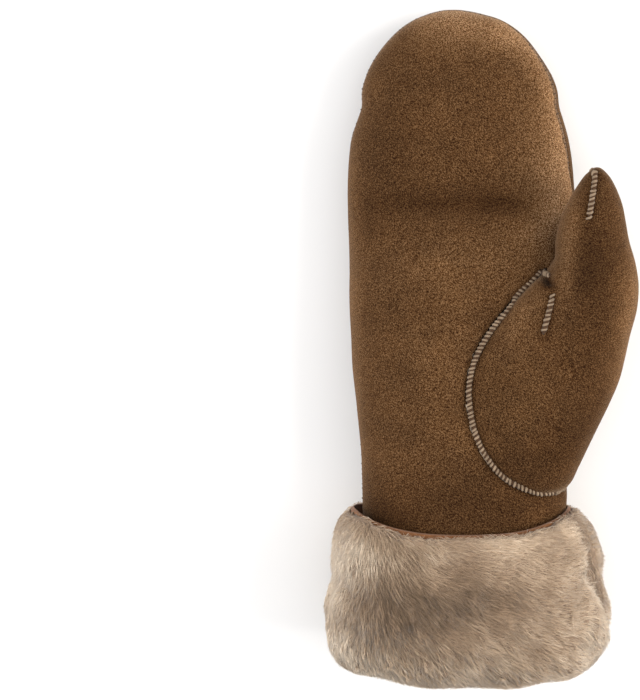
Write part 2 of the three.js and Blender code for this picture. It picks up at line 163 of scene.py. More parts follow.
def unit(vectors):
    return vectors / np.maximum(np.linalg.norm(vectors, axis=-1, keepdims=True), 1e-9)


def smooth_step(values, low, high):
    t = np.clip((values - low) / (high - low), 0, 1)
    return t * t * (3 - 2 * t)


def round_spot(layout, x, y, reach):
    """1 at a place, fading round it."""
    return np.exp(-(((layout[:, 0] - x) ** 2 + (layout[:, 1] - y) ** 2) / reach**2))


def oval_spots(x, y, rows):
    """For rows of place, reach, width, amount and turn: each amount, with its share at every x and y."""
    for spot_x, spot_y, reach, width, amount, turn in rows:
        along = (x - spot_x) * math.cos(turn) + (y - spot_y) * math.sin(turn)
        across = (y - spot_y) * math.cos(turn) - (x - spot_x) * math.sin(turn)
        yield amount, np.exp(-((along / reach) ** 2) - (across / width) ** 2)


def linked(name, data):
    obj = bpy.data.objects.new(name, data)
    bpy.context.scene.collection.objects.link(obj)
    return obj


def vertex_places(mesh):
    places = np.empty(len(mesh.vertices) * 3)
    mesh.vertices.foreach_get("co", places)
    return places.reshape(-1, 3)


def place_vertices(mesh, places):
    mesh.vertices.foreach_set("co", places.ravel())
    mesh.update()


def colour_vertices(mesh, name, colour):
    attribute = mesh.attributes.new(name, "FLOAT_COLOR", "POINT")
    attribute.data.foreach_set("color", colour.ravel())


def shade_smooth(mesh):
    mesh.polygons.foreach_set("use_smooth", np.ones(len(mesh.polygons), bool))


def table(names, rows):
    return {name: np.array([row[i] for row in rows], float) for i, name in enumerate(names)}


def curve_through(values, steps):
    """A smooth curve through rows of numbers, with steps between each two rows."""
    values = np.asarray(values, float)
    slopes = np.gradient(values, axis=0)
    at = np.linspace(0, len(values) - 1, (len(values) - 1) * steps + 1)
    first = np.minimum(at.astype(int), len(values) - 2)
    t = (at - first)[:, None]
    a, b = values[first], values[first + 1]
    sa, sb = slopes[first], slopes[first + 1]
    return (
        a * (2 * t**3 - 3 * t**2 + 1)
        + sa * (t**3 - 2 * t**2 + t)
        + b * (3 * t**2 - 2 * t**3)
        + sb * (t**3 - t**2)
    )


def refined(names, rows):
    return table(names, curve_through(rows, ROW_STEPS))


def signed_power(value, power):
    return np.sign(value) * np.abs(value) ** power


def section_points(rows, angles, exponent):
    """Points of superellipse sections, one ring for each row, flattened at the floor."""
    peak = rows.get("peak", (rows["left"] + rows["right"]) / 2)[:, None]
    level = rows.get("level", (rows["low"] + rows["high"]) / 2)[:, None]
    dip = rows.get("dip", np.zeros(len(rows["y"])))[:, None]
    across = signed_power(np.cos(angles), 2 / exponent)[None, :]
    up = signed_power(np.sin(angles), 2 / exponent)[None, :]
    x = peak + across * np.where(across > 0, rows["right"][:, None] - peak, peak - rows["left"][:, None])
    z = level + up * np.where(up > 0, rows["high"][:, None] - level, level - rows["low"][:, None])
    y = rows["y"][:, None] - dip * np.maximum(up, 0) ** 3
    return np.stack([x, np.broadcast_to(y, x.shape), np.maximum(z, 0)], axis=2)


def rings(rows, count, exponent):
    return section_points(rows, np.arange(count) * 2 * math.pi / count, exponent)


def dent_depth(x, y):
    total = np.zeros_like(x)
    for depth, share in oval_spots(x, y, PALM_DENTS):
        total += depth * share
    return total


def hand_rings():
    rows = refined(HAND_COLUMNS, HAND_SECTIONS)
    points = rings(rows, BODY_POINTS, SUEDE_EXPONENT)
    middle = ((rows["low"] + rows["high"]) / 2)[:, None]
    facing = np.clip((points[..., 2] - middle) / (rows["high"][:, None] - middle), 0, 1)
    points[..., 2] -= dent_depth(points[..., 0], points[..., 1]) * facing
    return points


def ring_normals(points):
    round_ = np.roll(points, -1, axis=1) - np.roll(points, 1, axis=1)
    return unit(np.cross(np.gradient(points, axis=0), round_))


def offset(points, distance):
    return points + ring_normals(points) * distance


def inside(points, wall):
    size = points.max(axis=1) - points.min(axis=1)
    roomy = np.minimum(size[:, 0], size[:, 2]) > LEAST_ROOM * wall
    return offset(points[roomy], -wall)


def with_mouth(points, y):
    first = points[:1].copy()
    first[..., 1] = y
    return np.concatenate([first, points])


def new_object(name, points, faces):
    mesh = bpy.data.meshes.new(name)
    mesh.from_pydata(metres(points).tolist(), [], faces)
    mesh.validate()
    return linked(name, mesh)


def loft(name, points):
    """A closed mesh through rings or polygons of equal length, with a fan at each end."""
    points = np.asarray(points, float)
    rows, count, _ = points.shape
    flat = points.reshape(-1, 3)
    centres = np.stack([points[0].mean(axis=0), points[-1].mean(axis=0)])
    start, end = len(flat), len(flat) + 1
    last = (rows - 1) * count
    sides = [(j, (j + 1) % count) for j in range(count)]
    faces = [(i + j, i + count + j, i + count + k, i + k) for i in range(0, last, count) for j, k in sides]
    faces += [face for j, k in sides for face in ((start, j, k), (end, last + k, last + j))]
    return new_object(name, np.concatenate([flat, centres]), faces)


def baked(obj):
    """Applies obj's modifiers."""
    graph = bpy.context.evaluated_depsgraph_get()
    graph.update()
    mesh = bpy.data.meshes.new_from_object(obj.evaluated_get(graph))
    old = obj.data
    obj.modifiers.clear()
    obj.data = mesh
    bpy.data.meshes.remove(old)
    return obj


def combined(name, obj, *steps):
    """A copy of obj joined with or cut by others: steps are (operation, other)."""
    made = linked(name, obj.data.copy())
    for operation, other in steps:
        modifier = made.modifiers.new(operation, "BOOLEAN")
        modifier.operation = operation
        modifier.solver = "MANIFOLD"
        modifier.object = other
        baked(made)
    return made


def removed(*objects):
    for obj in objects:
        mesh = obj.data
        bpy.data.objects.remove(obj)
        bpy.data.meshes.remove(mesh)


def back_side(name, shift):
    return loft(name, [
        [
            (-FAR, y, -FAR),
            (FAR, y, -FAR),
            (FAR, y, thumb_side + shift),
            (THUMB_EDGE_X, y, thumb_side + shift),
            (OUTER_EDGE_X, y, outer_side + shift),
            (-FAR, y, outer_side + shift),
        ]
        for y, thumb_side, outer_side in SIDE_SEAM
    ])


def thumb_zone(name, grow):
    seam = curve_through(THUMB_SEAM, ZONE_STEPS)
    seam[0, 0] -= grow
    seam[-1, 0] += grow
    return loft(name, [
        [
            (palm_x - grow, y, side_z - grow),
            (FAR, y, side_z - grow),
            (FAR, y, FAR),
            (palm_x - grow, y, FAR),
        ]
        for y, palm_x, side_z in seam
    ])


# Suede walls: the same joins and cuts as the solids, on smooth forms.
def suede_walls():
    hand = hand_rings()
    thumb_rings = rings(refined(THUMB_COLUMNS, THUMB_SECTIONS), THUMB_POINTS, THUMB_EXPONENT)
    outer = loft("hand_outer", hand)
    inner = loft("hand_inner", with_mouth(inside(hand, WALL), -FAR))
    grown = loft("hand_grown", with_mouth(offset(hand, GAP), MOUTH_Y - 1))
    thumb_outer = loft("thumb_outer", thumb_rings)
    thumb_inner = loft("thumb_inner", inside(thumb_rings, WALL))
    zone = thumb_zone("zone", 0)
    zone_grown = thumb_zone("zone_grown", GAP)
    below, above = back_side("below", -GAP / 2), back_side("above", GAP / 2)
    shell = combined("shell", outer, ("DIFFERENCE", inner))
    beside = combined("beside", shell, ("DIFFERENCE", zone_grown))
    free = combined("free", thumb_outer, ("DIFFERENCE", grown))
    back = combined("back_of_hand", beside, ("INTERSECT", below))
    palm = combined("palm_of_hand", beside, ("DIFFERENCE", above))
    thumb = combined(
        "thumb_and_gusset", shell,
        ("UNION", thumb_outer), ("INTERSECT", zone), ("UNION", free),
        ("DIFFERENCE", inner), ("DIFFERENCE", thumb_inner),
    )
    skin = combined("skin", outer, ("UNION", thumb_outer))
    skin_tree = tree_of(skin)
    room_tree = tree_of(inner, thumb_inner)
    rim = cuff_skin(inner)
    removed(outer, inner, grown, thumb_outer, thumb_inner, zone, zone_grown)
    removed(below, above, shell, beside, free, skin)
    return back, palm, thumb, rim, skin_tree, room_tree


def slab(name, low, high):
    return loft(name, [
        [(-FAR, y, -FAR), (FAR, y, -FAR), (FAR, y, FAR), (-FAR, y, FAR)] for y in (low, high)
    ])


def cuff_skin(hand_inner):
    points = rings(refined(CUFF_COLUMNS, CUFF_SKIN_SECTIONS), CUFF_POINTS, CUFF_EXPONENT)
    rim_y = CUFF_SKIN_SECTIONS[-1][0]
    near_rim = np.clip((points[..., 1:2] - RIM_TAPER_FROM) / (rim_y - RIM_TAPER_FROM), 0, 1)
    wall = CUFF_WALL * (1 - near_rim) + RIM_THICKNESS * near_rim
    hollow = points - ring_normals(points) * wall
    outwards = hollow[-1:].copy()
    outwards[..., 1] = 0
    whole = loft("cuff_whole", points)
    room = loft("cuff_room", np.concatenate([hollow, outwards]))
    fold = slab("fold", -FAR, CUFF_SKIN_SECTIONS[0][0] + CUFF_WALL)
    room_above = combined("room_above", room, ("DIFFERENCE", fold))
    made = combined("cuff_leather", whole, ("DIFFERENCE", room_above), ("DIFFERENCE", hand_inner))
    removed(whole, room, fold, room_above)
    return made


def tree_of(*objects):
    points, faces = [], []
    for obj in objects:
        first = len(points)
        points += [v.co.copy() for v in obj.data.vertices]
        faces += [[first + i for i in p.vertices] for p in obj.data.polygons]
    return BVHTree.FromPolygons(points, faces)


def point_tree(places):
    tree = KDTree(len(places))
    for i, place in enumerate(places):
        tree.insert(place, i)
    tree.balance()
    return tree


def remeshed(obj, voxel, passes, keep):
    """Even voxels, smoothed, of which a share of the faces is kept where the form is plain."""
    modifier = obj.modifiers.new("remesh", "REMESH")
    modifier.mode = "VOXEL"
    modifier.voxel_size = voxel * MM
    modifier.use_smooth_shade = True
    smooth = obj.modifiers.new("smooth", "SMOOTH")
    smooth.factor = SMOOTHING
    smooth.iterations = passes
    thinned = obj.modifiers.new("thinned", "DECIMATE")
    thinned.ratio = keep
    return baked(obj)


# Seams: overcast thread over a raised bead, which starts at a share of its radius and grows by BEAD_TAPER
BEAD_RADIUS = 1.2
BEAD_SINK = 0.95
WELT_RADIUS = 1.25
WELT_SINK = 1.4
BEAD_STEP = 0.8
BEAD_END = 0.35
BEAD_TAPER = 0.25
STITCH = {"pitch": 1.95, "radius": 0.85, "thread": 0.58, "slant": 1.3, "reach": 1.75, "sink": 0.6}
WELT_STITCH = {"pitch": 2.2, "radius": 1.25, "thread": 0.32, "slant": 0.5, "reach": 1.5, "sink": 1.5}

# How unlike each other stitches are: shares of the sizes above, and a shift
UNEVEN = {"radius": (0.85, 1.15), "slant": (0.6, 1.3), "shift": (-0.3, 0.3), "thread": (0.9, 1.1)}
THREAD_START = 0.85

# The valley that a stitched seam lies in, with painted shade along it: darker by that share, over the shadow
# width
VALLEY = {"depth": 0.8, "width": 2.8, "darker": 0.5, "shadow": 2.0}

# Steps between the rows of a table, and sides of the tubes
SEAM_STEPS = 8
DART_STEPS = 6
TURN_STEPS = 4
BEAD_SIDES = 8
THREAD_SIDES = 6
STITCH_POINTS = 7

# The seam's bead rises round the crotch of the thumb, where a pucker lies under it.
CROTCH_TURN = [(22.6, 36.2), (25.0, 38.4), (27.4, 39.2), (28.3, 39.1)]

# The dart in the crotch of the thumb, and the thumb's own seam as angles round its sections
DART = [(29.0, 31.5), (28.2, 27), (26.6, 20), (25.2, 14.5)]
THUMB_SEAM_PALM = [(67, 107), (74, 108), (80, 110), (84, 112), (86, 116)]
THUMB_SEAM_BACK = [(86, 240), (83, 236), (78, 232), (72, 229), (64, 227), (54, 226), (46, 218)]

# Level rays that find the side seam: where they start, and from where to where they go
SIDE_PASSES = {"thumb_side": (36, -126, 138.5), "tip": (146, 16, -39), "outer_side": (-52, 138, -127)}
RAY_TRIES = 4


def hit(tree, start, direction):
    place, normal, _, _ = tree.ray_cast(Vector(metres(start)), Vector(direction))
    return (np.array(place), np.array(normal)) if place is not None else None


def seam_paths(skin_tree):
    """Places and normals along each stitched seam, in metres."""
    curve = curve_through(THUMB_SEAM, SEAM_STEPS)
    across_palm = [(x, y) for y, x, _ in curve[:-SEAM_STEPS]]
    across_palm += [tuple(p) for p in curve_through(CROTCH_TURN, TURN_STEPS)]
    palm_side = [hit(skin_tree, (x, y, FAR), (0, 0, -1)) for x, y in across_palm]
    edge_side = [hit(skin_tree, (FAR, y, z), (-1, 0, 0)) for y, _, z in curve]
    loop = [p for p in edge_side[::-1] + palm_side if p]
    dart = [hit(skin_tree, (x, y, FAR), (0, 0, -1)) for x, y in curve_through(DART, DART_STEPS)]
    rows = refined(THUMB_COLUMNS, THUMB_SECTIONS)
    thumb = []
    halves = [curve_through(half, DART_STEPS) for half in (THUMB_SEAM_PALM, THUMB_SEAM_BACK)]
    for y, degrees in np.concatenate(halves):
        row = {name: np.array([np.interp(y, rows["y"], column)]) for name, column in rows.items()}
        thumb.append(section_points(row, np.array([math.radians(degrees)]), THUMB_EXPONENT)[0, 0])
    thumb = list(zip(*nearest(skin_tree, metres(thumb))))
    return {"seam_thumb_base": loop, "seam_crotch_dart": [p for p in dart if p], "seam_thumb": thumb}


def side_seam_path(skin_tree):
    """Round the edge of the hand, from the cuff up the thumb side, over the tip and down the outer side."""
    table_y, thumb_sides, outer_sides = zip(*SIDE_SEAM)

    def height(x, y):
        thumb_side, outer_side = np.interp(y, table_y, thumb_sides), np.interp(y, table_y, outer_sides)
        return outer_side + (thumb_side - outer_side) * (x - OUTER_EDGE_X) / (THUMB_EDGE_X - OUTER_EDGE_X)

    def landed(x, y, direction):
        """The hit of a level ray, aimed again until it lands at the seam's height."""
        level = height(x, y)
        for _ in range(RAY_TRIES):
            start = (-FAR * direction[0] or x, -FAR * direction[1] or y, level)
            found = hit(skin_tree, start, direction)
            if not found:
                return None
            place = layout_of(found[0])
            level = height(place[0], place[1])
        return found

    x, start, end = SIDE_PASSES["thumb_side"]
    path = [landed(x, y, (-1, 0, 0)) for y in np.arange(start, end, 1)]
    y, start, end = SIDE_PASSES["tip"]
    path += [landed(x, y, (0, -1, 0)) for x in np.arange(start, end, -1)]
    x, start, end = SIDE_PASSES["outer_side"]
    path += [landed(x, y, (1, 0, 0)) for y in np.arange(start, end, -1)]
    return [p for p in path if p]


def even_path(path, step):
    """The path at equal steps, with a tangent and a side direction at each place."""
    values = np.array([(*place, *normal) for place, normal in path])
    lengths = np.concatenate([[0], np.cumsum(np.linalg.norm(np.diff(values[:, :3], axis=0), axis=1))])
    at = np.linspace(0, lengths[-1], max(int(lengths[-1] / step), 2) + 1)
    values = np.stack([np.interp(at, lengths, column) for column in values.T], axis=1)
    place, normal = values[:, :3], values[:, 3:]
    tangent = unit(np.gradient(place, axis=0))
    normal = unit(normal - tangent * np.sum(normal * tangent, axis=1, keepdims=True))
    return place, tangent, normal, np.cross(tangent, normal)


def circles(side, over, turn):
    """Offsets round many places, one row of places by one row of turns."""
    return side[:, None] * np.cos(turn)[None, :, None] + over[:, None] * np.sin(turn)[None, :, None]


def tube(points, radii, sides, up):
    """Closed tube round a path of points in metres; up is a direction that isn't along the path."""
    points = np.asarray(points)
    tangent = unit(np.gradient(points, axis=0))
    side = unit(np.cross(tangent, up))
    over = np.cross(side, tangent)
    ring = circles(side, over, np.arange(sides) * 2 * math.pi / sides)
    vertices = (points[:, None] + ring * np.asarray(radii)[:, None, None]).reshape(-1, 3)
    last = (len(points) - 1) * sides
    faces = [
        (i + j, i + (j + 1) % sides, i + sides + (j + 1) % sides, i + sides + j)
        for i in range(0, last, sides) for j in range(sides)
    ]
    faces.append(tuple(range(sides))[::-1])
    faces.append(tuple(last + j for j in range(sides)))
    return vertices, faces


def joined_mesh(name, parts):
    points, faces, first = [], [], 0
    for vertices, part_faces in parts:
        points.append(vertices)
        faces += [tuple(first + i for i in face) for face in part_faces]
        first += len(vertices)
    mesh = bpy.data.meshes.new(name)
    mesh.from_pydata(np.concatenate(points).tolist(), [], faces)
    shade_smooth(mesh)
    return linked(name, mesh)


def bead(name, path, radius=BEAD_RADIUS, sink=BEAD_SINK):
    place, _, normal, _ = even_path(path, BEAD_STEP * MM)
    ends = np.minimum(np.arange(len(place)), np.arange(len(place))[::-1])
    radii = radius * MM * np.minimum(1, BEAD_END + ends * BEAD_TAPER)
    place = place - normal * sink * MM
    return joined_mesh(name, [tube(place, radii, BEAD_SIDES, normal)])


def stitches(name, path, rng, stitch=STITCH):
    place, tangent, normal, side = even_path(path, stitch["pitch"] * MM)
    parts = []
    for i in range(len(place) - 1):
        size = stitch["radius"] * MM * rng.uniform(*UNEVEN["radius"])
        slant = stitch["slant"] * MM * rng.uniform(*UNEVEN["slant"])
        shift = rng.uniform(*UNEVEN["shift"]) * MM
        turn = np.linspace(-stitch["reach"], stitch["reach"], STITCH_POINTS)[:, None]
        points = (
            place[i] + side[i] * np.sin(turn) * size
            + normal[i] * (np.cos(turn) * size - stitch["sink"] * MM)
            + tangent[i] * (turn / stitch["reach"] * slant / 2 + shift)
        )
        radii = stitch["thread"] * MM * np.linspace(THREAD_START, 1.0, STITCH_POINTS)
        radii = radii * rng.uniform(*UNEVEN["thread"])
        parts.append(tube(points, radii, THREAD_SIDES, tangent[i]))
    return joined_mesh(name, parts)


# Wool. Fibres are slender closed spikes, rooted in the pile and combed along it.
SHORT = {
    "count": 116000, "pieces": 3, "length": (3.2, 7.0), "tip_height": (0.5, 2.1),
    "radius": 0.15, "depth": 0.6, "jitter": 27, "pull": 0.3,
}
LONG = {
    "count": 20000, "pieces": 2, "length": (6.0, 11.0), "tip_height": (0.8, 2.9),
    "radius": 0.13, "depth": 0.6, "jitter": 15, "pull": 0.5,
}
MIDDLE_HEIGHT = 1.5
MIDDLE_SPREAD = (0.5, 1.1)
MIDDLE_RADIUS = 0.85

# Wisps: how far fibres are pulled, and the share of it that is to the wisp's very tip
WISPS = 3000
WISP_JITTER = 8
PULL_SPREAD = (0.3, 1.2)
PULL_TO_POINT = 0.6

# Least heights of roots and of the rest of a fibre, and points round the form that roots are chosen on
FLOOR_CLEARANCE = 1.0
LOWEST = 0.6
ROOT_POINTS = 360

# The wool's body: how deep it lies under the fibres, its waves, and its even edge at the rim
BASE_SINK = 1.0
BASE_SWELL = (12, 0.9, 3)
RIM_WOOL_FROM = -73.0
RIM_WOOL_FADE = 5.0
RIM_WOOL_RISE = 0.9
RIM_FACES_Y = 0.3

# Fibres stand closer near the rim.
RIM_DENSER = 1.6
DENSER_FROM_Y, DENSER_TO_Y = -84, -74

# Where the wool is fuller or flatter: x, y, reach and height
WOOL_BULGES = [
    (-62, -130, 10, 1), (-42, -143, 15, -1.6), (4, -143, 18, -1.4), (42, -140, 13, 1.8),
    (56, -116, 12, 1.6),
]

# Parting where the two ends of the cuff strip meet: y, and its angle up from the thumb-side edge
PARTING = [
    (-138, 0.1), (-128, 0.2), (-121, 0.27), (-111, 0.35),
    (-100, 0.44), (-90, 0.56), (-79, 0.67), (-68, 0.67),
]
PARTING_FRINGE = 5.0
FRINGE_HIGHER = 0.6

# The smooth strip beyond the parting: how its fibres lie, with their lengths, heights and pull as shares
PARTING_STRIP = 12.0
STRIP_DEGREES = 88
STRIP_JITTER = 8
STRIP_LENGTH = 0.55
STRIP_HEIGHT = 0.25
PARTING_PULL = 0.2

# Rows of the wool's sections that roll over the fold, below the parting
ROLLED_ROWS = 5

# Comb direction on the palm side of the cuff: place, and degrees below level towards the thumb side
COMB = [
    (-62, -80, 125), (-50, -80, 70), (-58, -110, 98), (-50, -134, 84), (-26, -84, 34), (-30, -108, 38),
    (-24, -134, 60), (0, -88, 20), (2, -108, 24), (8, -124, 30), (8, -138, 50), (32, -86, 4),
    (34, -106, 8), (36, -122, 22), (36, -138, 36), (52, -90, 8), (54, -112, 24), (54, -130, 50),
]
COMB_SPREAD = 16.0
COMB_LEAST = 1e-6
COMB_SWELL = (9, 16, 5)
BACK_COMB_DEGREES = 75
PALM_SHARE = (1.6, 0.5)

# A swell has a size, a height and a seed. Its waves' lengths are shares of its size.
SWELL_WAVES = 7
SWELL_LENGTHS = (1.4, 2.6)
SWELL_RANGE = 3.5


def comb_field(layout, facing_up):
    """Degrees below level at each place, blended from the table, and plainer round the back."""
    weights = np.array([round_spot(layout, x, y, COMB_SPREAD) + COMB_LEAST for x, y, _ in COMB])
    angles = np.array([a for _, _, a in COMB])
    palm = (weights * angles[:, None]).sum(axis=0) / weights.sum(axis=0)
    share = np.clip(facing_up * PALM_SHARE[0] + PALM_SHARE[1], 0, 1)
    return palm * share + BACK_COMB_DEGREES * (1 - share)


def swell(places, size, height, seed):
    """Smooth waves of about that height, with bumps of that size, at places in layout millimetres."""
    rng = np.random.default_rng(seed)
    total = np.zeros(len(places))
    for _ in range(SWELL_WAVES):
        direction = unit(rng.normal(size=3)) * 2 * math.pi / (size * rng.uniform(*SWELL_LENGTHS))
        total += np.sin(places @ direction + rng.uniform(0, 2 * math.pi))
    return height * (total / SWELL_RANGE)


def moved_out(obj, distance_of):
    """Moves each vertex along its normal, by a function of its place in layout millimetres."""
    places = vertex_places(obj.data)
    normals = np.empty(places.size)
    obj.data.vertices.foreach_get("normal", normals)
    normals = normals.reshape(-1, 3)
    places += normals * (distance_of(layout_of(places), normals) * MM)[:, None]
    places[:, 2] = np.maximum(places[:, 2], 0)
    place_vertices(obj.data, places)


# How the cuff's upper edge sits: its rim rises beside the wrist, the wool outside it drops, on the thumb side
# it closes in on the hand, and under the hand it sags. Pairs are where a change starts and is full, drop_at
# and close_until in shares of the reach.
SETTLE = {
    "y": (-100.0, -72.0), "middle_x": -7.5, "reach": 47.0, "rise": 2.3, "rise_power": 2.5,
    "drop": 5.6, "drop_at": (0.99, 1.2), "close": 1.2, "close_from": (20, 40), "close_until": (1.02, 1.2),
    "sag": 5.0, "sag_z": (16.0, 48.0),
}


def settled(layout):
    share = smooth_step(layout[:, 1], *SETTLE["y"])
    sideways = layout[:, 0] - SETTLE["middle_x"]
    away = np.abs(sideways) / SETTLE["reach"]
    rise = SETTLE["rise"] * np.minimum(away, 1) ** SETTLE["rise_power"]
    rise = rise - SETTLE["drop"] * smooth_step(away, *SETTLE["drop_at"])
    rise -= SETTLE["sag"] * (1 - smooth_step(layout[:, 2], *SETTLE["sag_z"]))
    close = SETTLE["close"] * smooth_step(sideways, *SETTLE["close_from"])
    close = close * (1 - smooth_step(away, *SETTLE["close_until"]))
    return layout + np.stack([-close * share, rise * share, np.zeros(len(layout))], axis=1)


def settle(obj):
    place_vertices(obj.data, metres(settled(layout_of(vertex_places(obj.data)))))


def wool_base():
    base = linked("wool_base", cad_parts["cuff_pile"].data.copy())
    remeshed(base, WOOL_VOXEL, WOOL_PASSES, WOOL_KEPT)

    def distance(places, normals):
        below_rim = np.clip((RIM_WOOL_FROM - places[:, 1]) / RIM_WOOL_FADE, 0, 1)
        up_to_rim = (1 - below_rim) * (normals[:, 1] > RIM_FACES_Y) * RIM_WOOL_RISE
        uneven = swell(places, *BASE_SWELL) - BASE_SINK
        for x, y, reach, height in WOOL_BULGES:
            uneven += height * round_spot(places, x, y, reach)
        return up_to_rim + below_rim * uneven

    moved_out(base, distance)
    settle(base)
    return base


def beside_parting(layout):
    """Distance across the parting: positive beyond it, towards the thumb side and the floor."""
    angles = np.interp(layout[:, 1], *zip(*PARTING))
    rows = refined(CUFF_COLUMNS, WOOL_SECTIONS)
    rows = {name: column[ROW_STEPS * ROLLED_ROWS:] for name, column in rows.items()}
    at = {name: np.interp(layout[:, 1], rows["y"], column) for name, column in rows.items()}
    middle_x, middle_z = (at["left"] + at["right"]) / 2, (at["low"] + at["high"]) / 2
    across = np.cos(angles) ** (2 / CUFF_EXPONENT)
    up = np.sin(angles) ** (2 / CUFF_EXPONENT)
    edge_x = middle_x + across * (at["right"] - middle_x)
    edge_z = middle_z + up * (at["high"] - middle_z)
    out = unit(np.stack([edge_x - middle_x, edge_z - middle_z], axis=1))
    down = np.stack([out[:, 1], -out[:, 0]], axis=1)
    offset_xz = np.stack([layout[:, 0] - edge_x, layout[:, 2] - edge_z], axis=1)
    distance = np.sum(offset_xz * down, axis=1)
    return np.where(layout[:, 0] > middle_x, distance, -FAR)


def strip_and_fringe(layout):
    """Whether each place is in the smooth strip beyond the parting, or in the fringe before it."""
    distance = beside_parting(layout)
    strip = (distance > 0) & (distance < PARTING_STRIP)
    return strip, (distance > -PARTING_FRINGE) & (distance <= 0)


def wool_roots(rng, count, base_tree):
    """Random places on the outside of the pile, with normals, in metres."""
    points = rings(refined(CUFF_COLUMNS, WOOL_SECTIONS), ROOT_POINTS, CUFF_EXPONENT)
    step_round = np.linalg.norm(np.roll(points, -1, axis=1) - points, axis=2)[:-1]
    step_along = np.linalg.norm(points[1:] - points[:-1], axis=2)
    clear = points[:-1, :, 2] > FLOOR_CLEARANCE
    denser = 1 + RIM_DENSER * smooth_step(points[:-1, :, 1], DENSER_FROM_Y, DENSER_TO_Y)
    area = (step_round * step_along * clear * denser).ravel()
    chosen = rng.choice(len(area), size=count, p=area / area.sum())
    row, column = np.divmod(chosen, ROOT_POINTS)
    u, v = rng.random((2, count, 1))
    beside = (column + 1) % ROOT_POINTS
    low, high = (points[i, column] * (1 - v) + points[i, beside] * v for i in (row, row + 1))
    layout = low * (1 - u) + high * u
    return nearest(base_tree, metres(settled(layout)))


def nearest(tree, places):
    found = [tree.find_nearest(Vector(p))[:2] for p in places]
    return np.array([tuple(p) for p, _ in found]), np.array([tuple(n) for _, n in found])


def combed(place, normal, rng, jitter):
    """Unit directions along the surface."""
    layout = layout_of(place)
    degrees = comb_field(layout, normal[:, 2]) + swell(layout, *COMB_SWELL)
    strip, _ = strip_and_fringe(layout)
    uneven = rng.normal(0, 1, len(place)) * np.where(strip, STRIP_JITTER, jitter)
    degrees = np.where(strip, STRIP_DEGREES, degrees) + uneven
    along = np.array([0.0, -1.0, 0.0])
    along = unit(along - normal * (normal @ along)[:, None])
    round_ = unit(np.cross(normal, along))
    turn = np.radians(degrees)[:, None]
    return unit(along * np.sin(turn) + round_ * np.cos(turn))


def wool_fibres(rng, base_tree, kind, wisps):
    """Root, middle and tip of each fibre, its normal and its wisp."""
    wisp_tree, wisp_place, wisp_tip = wisps
    count = kind["count"]
    root, normal = wool_roots(rng, count, base_tree)
    comb = combed(root, normal, rng, kind["jitter"])
    strip, fringe = (mask[:, None] for mask in strip_and_fringe(layout_of(root)))
    length = rng.uniform(*kind["length"], (count, 1)) * MM * np.where(strip, STRIP_LENGTH, 1)
    height = rng.uniform(*kind["tip_height"], (count, 1)) * MM
    height = height * np.where(strip, STRIP_HEIGHT, 1) + np.where(fringe, FRINGE_HIGHER * MM, 0)
    beyond, beyond_normal = nearest(base_tree, root + comb * length)
    tip = beyond + beyond_normal * height
    wisp = np.array([wisp_tree.find(place)[1] for place in root])
    pull = kind["pull"] * rng.uniform(*PULL_SPREAD, (count, 1))
    pull = pull * np.where(strip | fringe, PARTING_PULL, 1)
    beside_wisp = root + wisp_tip[wisp] - wisp_place[wisp]
    shared = beside_wisp * (1 - PULL_TO_POINT) + wisp_tip[wisp] * PULL_TO_POINT
    tip = tip * (1 - pull) + shared * pull
    halfway, halfway_normal = nearest(base_tree, (root + tip) / 2)
    middle = halfway + halfway_normal * MIDDLE_HEIGHT * MM * rng.uniform(*MIDDLE_SPREAD, (count, 1))
    start = root - normal * kind["depth"] * MM
    for points in (middle, tip):
        points[:, 2] = np.maximum(points[:, 2], LOWEST * MM)
    return start, middle, tip, normal, wisp


def wool_wisps(rng, base_tree):
    """Places and tips that nearby fibres are pulled towards, with a tree of the places."""
    place, normal = wool_roots(rng, WISPS, base_tree)
    comb = combed(place, normal, rng, WISP_JITTER)
    length = rng.uniform(*LONG["length"], (WISPS, 1)) * MM
    tip, tip_normal = nearest(base_tree, place + comb * length)
    tip += tip_normal * rng.uniform(*SHORT["tip_height"], (WISPS, 1)) * MM
    return point_tree(place), place, tip


# A fibre's three sides, and its faces without or with a bend
THREE_SIDES = np.arange(3) * 2 * math.pi / 3 + 0.5
OFF_NORMAL = 0.3
STRAIGHT_FACES = [(0, 1, 3), (1, 2, 3), (2, 0, 3), (2, 1, 0)]
BENT_FACES = [
    (0, 1, 4), (0, 4, 3), (1, 2, 5), (1, 5, 4), (2, 0, 3), (2, 3, 5),
    (3, 4, 6), (4, 5, 6), (5, 3, 6), (2, 1, 0),
]


def fibre_mesh(name, fibres, tone, radius, bent):
    """One mesh of closed three-sided spikes, with their tone and root-to-tip share on each vertex."""
    start, middle, tip, normal, _ = fibres
    side = unit(np.cross(middle - start, normal + OFF_NORMAL))
    over = unit(np.cross(side, middle - start))
    ring = circles(side, over, THREE_SIDES) * (radius * MM)
    levels, shares, pattern = [start[:, None] + ring], [0] * 3, np.array(STRAIGHT_FACES)
    if bent:
        levels.append(middle[:, None] + ring * MIDDLE_RADIUS)
        shares += [0.5] * 3
        pattern = np.array(BENT_FACES)
    levels.append(tip[:, None])
    shares.append(1)
    vertices = np.concatenate(levels, axis=1)
    count, each, _ = vertices.shape
    faces = (np.arange(count)[:, None, None] * each + pattern[None]).reshape(-1, 3)
    mesh = bpy.data.meshes.new(name)
    mesh.from_pydata(vertices.reshape(-1, 3), [], faces)
    shade_smooth(mesh)
    colour = np.ones((count * each, 4))
    colour[:, 0] = np.repeat(tone, each)
    colour[:, 1] = np.tile(shares, count)
    colour_vertices(mesh, "fibre", colour)
    return linked(name, mesh)


# Camera: the photo's angle to the palm, from a little towards the fingertips of straight above.
VIEW_TILT = math.radians(12)
VIEW_DISTANCE = 1.5
PIXELS_PER_MM = 2.257
LOOK_AT = (-71.0, 0.0, 30.0)
IMAGE_HEIGHT = 700
SENSOR = 36.0


